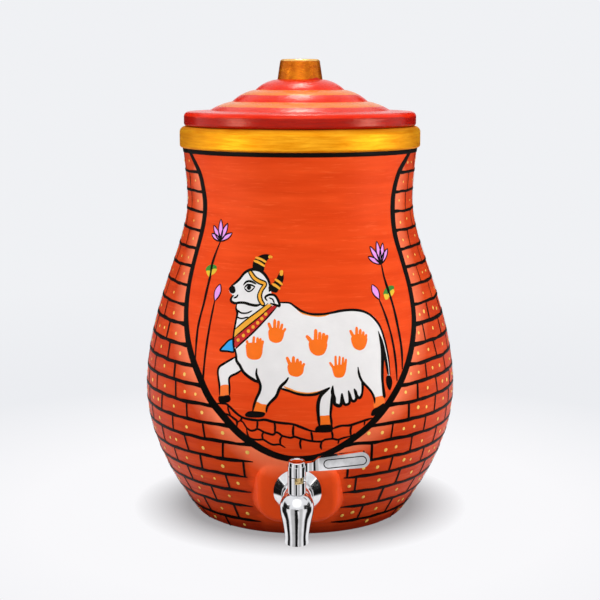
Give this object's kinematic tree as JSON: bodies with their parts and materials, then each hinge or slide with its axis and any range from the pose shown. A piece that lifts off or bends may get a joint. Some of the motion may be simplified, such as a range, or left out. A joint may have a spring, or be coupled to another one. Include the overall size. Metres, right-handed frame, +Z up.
{
  "type": "clay water jar",
  "caption": "Round-bellied clay water jar with a stepped lift-off lid and a quarter-turn lever tap low on its front.",
  "frame": {"origin": "centre of the jar's flat foot, on the surface that it stands on", "axes": "+Z up along the jar's axis, -Y towards the tap, +X to the right of someone who faces the tap"},
  "size_m": [0.272, 0.3058, 0.395],
  "materials": {
    "jar_clay": "painted matt terracotta",
    "lid_clay": "painted matt terracotta",
    "polished_steel": "polished",
    "plain_steel": "plain zinc plated",
    "nut_brass": "machined",
    "valve_brass": "machined",
    "gasket_rubber": "matt",
    "seal_rubber": "matt",
    "seal_plastic": "satin white"
  },
  "bodies": {
    "jar": {"jar_body": "jar_clay", "tap_body": "polished_steel", "wall_rosette": "polished_steel", "outer_gasket": "gasket_rubber", "inner_gasket": "gasket_rubber", "clamp_washer": "plain_steel", "back_nut": "nut_brass", "inlet_seat_seal": "seal_plastic", "gland_bush": "valve_brass", "stop_sleeve": "polished_steel"},
    "lid": {"lid": "lid_clay"},
    "handle": {"lever_handle": "polished_steel", "handle_screw": "plain_steel", "cap_cover": "polished_steel", "valve_plug": "valve_brass", "plug_seal_upper": "seal_rubber", "plug_seal_lower": "seal_rubber", "thrust_washer": "seal_plastic"}
  },
  "joints": [
    {"name": "lid_lift", "type": "slide", "parent": "jar", "child": "lid", "axis": [0, 0, 1], "range_m": [0, 0.15]},
    {"name": "handle_turn", "type": "hinge", "parent": "jar", "child": "handle", "pos_m": [0, -0.15621, 0.0446], "axis": [0, -0.1132, 0.9936], "range_deg": [-90, 0]}
  ]
}
